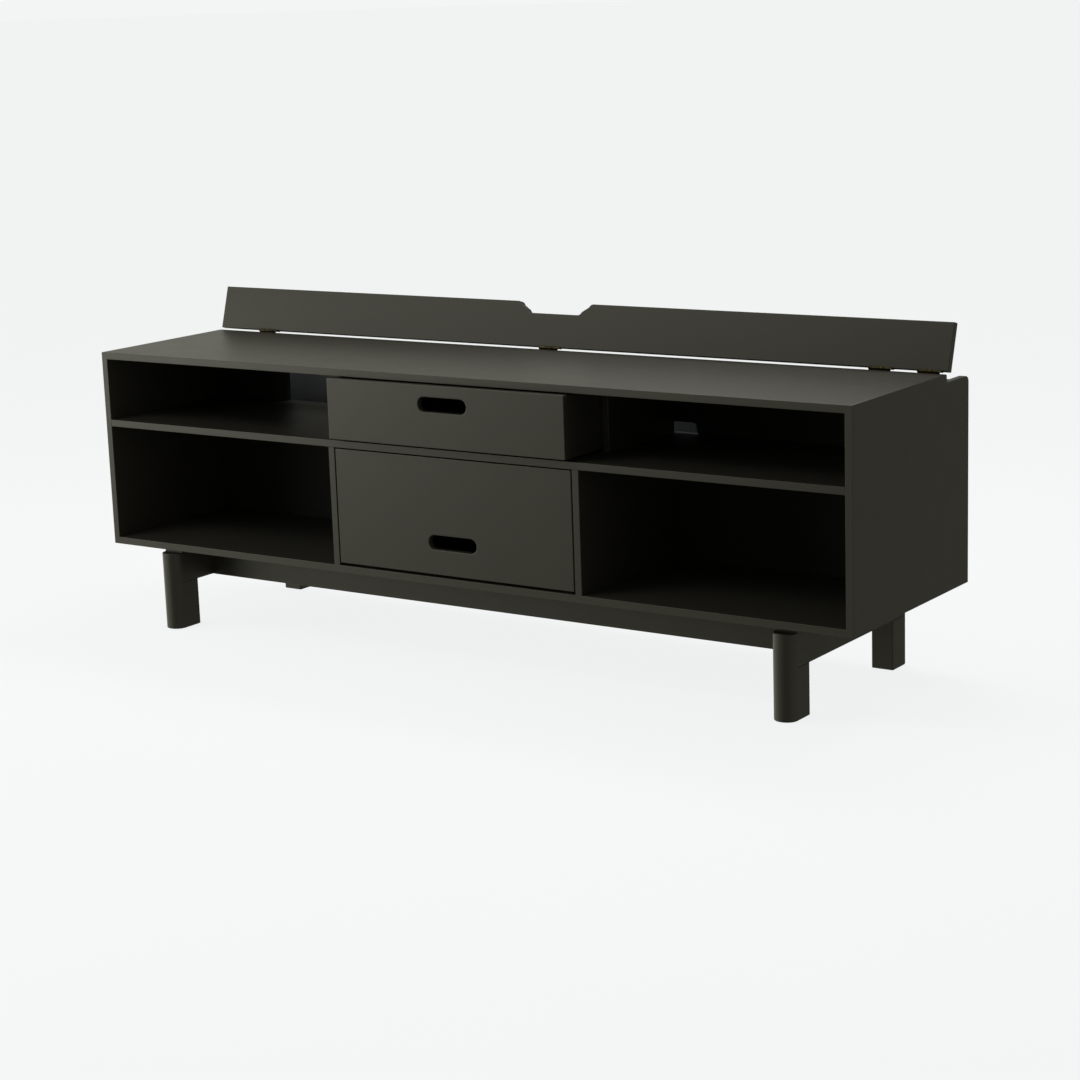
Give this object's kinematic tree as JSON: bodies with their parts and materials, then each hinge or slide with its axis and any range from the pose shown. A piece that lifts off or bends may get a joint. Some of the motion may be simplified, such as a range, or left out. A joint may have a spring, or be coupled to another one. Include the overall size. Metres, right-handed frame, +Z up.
{
  "type": "media console",
  "caption": "Low media console on a legged base: open bays left and right, drawers between them, and a hinged rear flap over a cable channel.",
  "frame": {"origin": "middle of the footprint of the rest pose, on the floor", "axes": "+X to the right along the longest side, +Y from the front to the back, +Z up"},
  "size_m": [1.8, 0.497, 0.6922],
  "materials": {
    "lacquer": "satin olive-black lacquer on wood board",
    "lacquered_beech": "satin olive-black lacquer on solid wood",
    "drawer_box": "matt olive-black lacquer on plywood",
    "brass": "brushed, slightly aged",
    "steel": "zinc-plated",
    "glide_plastic": "matt black"
  },
  "bodies": {
    "cabinet": {"top_panel": "lacquer", "bottom_panel": "lacquer", "side_panel_left": "lacquer", "side_panel_right": "lacquer", "shelf": "lacquer", "lower_divider_left": "lacquer", "lower_divider_right": "lacquer", "upper_divider_left": "lacquer", "upper_divider_right": "lacquer", "inner_back_lower": "lacquer", "inner_back_upper": "lacquer", "outer_back": "lacquer", "leg_front_left": "lacquered_beech", "leg_front_right": "lacquered_beech", "leg_rear_left": "lacquered_beech", "leg_rear_right": "lacquered_beech", "glide_front_left": "glide_plastic", "glide_front_right": "glide_plastic", "glide_rear_left": "glide_plastic", "glide_rear_right": "glide_plastic", "side_rail_left": "lacquered_beech", "side_rail_right": "lacquered_beech", "cross_rail_front": "lacquered_beech", "cross_rail_rear": "lacquered_beech", "hinge_leaf_fixed_1": "brass", "hinge_leaf_fixed_2": "brass", "hinge_leaf_fixed_3": "brass", "hinge_leaf_fixed_4": "brass", "hinge_pin_1": "brass", "hinge_pin_2": "brass", "hinge_pin_3": "brass", "hinge_pin_4": "brass", "upper_drawer_runner_left_fixed": "steel", "upper_drawer_runner_right_fixed": "steel", "lower_drawer_runner_left_fixed": "steel", "lower_drawer_runner_right_fixed": "steel"},
    "flap": {"flap": "lacquer", "hinge_leaf_flap_1": "brass", "hinge_leaf_flap_2": "brass", "hinge_leaf_flap_3": "brass", "hinge_leaf_flap_4": "brass"},
    "upper_drawer": {"upper_drawer_front": "lacquer", "upper_drawer_side_left": "drawer_box", "upper_drawer_side_right": "drawer_box", "upper_drawer_bottom": "drawer_box", "upper_drawer_back": "drawer_box", "upper_drawer_runner_left_moving": "steel", "upper_drawer_runner_right_moving": "steel"},
    "lower_drawer": {"lower_drawer_front": "lacquer", "lower_drawer_side_left": "drawer_box", "lower_drawer_side_right": "drawer_box", "lower_drawer_bottom": "drawer_box", "lower_drawer_back": "drawer_box", "lower_drawer_runner_left_moving": "steel", "lower_drawer_runner_right_moving": "steel"}
  },
  "joints": [
    {"name": "upper_drawer_slide", "type": "slide", "parent": "cabinet", "child": "upper_drawer", "axis": [0, -1, 0], "range_m": [-0.017, 0.233]},
    {"name": "lower_drawer_slide", "type": "slide", "parent": "cabinet", "child": "lower_drawer", "axis": [0, -1, 0], "range_m": [0, 0.25]},
    {"name": "flap_hinge", "type": "hinge", "parent": "cabinet", "child": "flap", "pos_m": [0, 0.153, 0.602], "axis": [1, 0, 0], "range_deg": [-73, 22]}
  ]
}
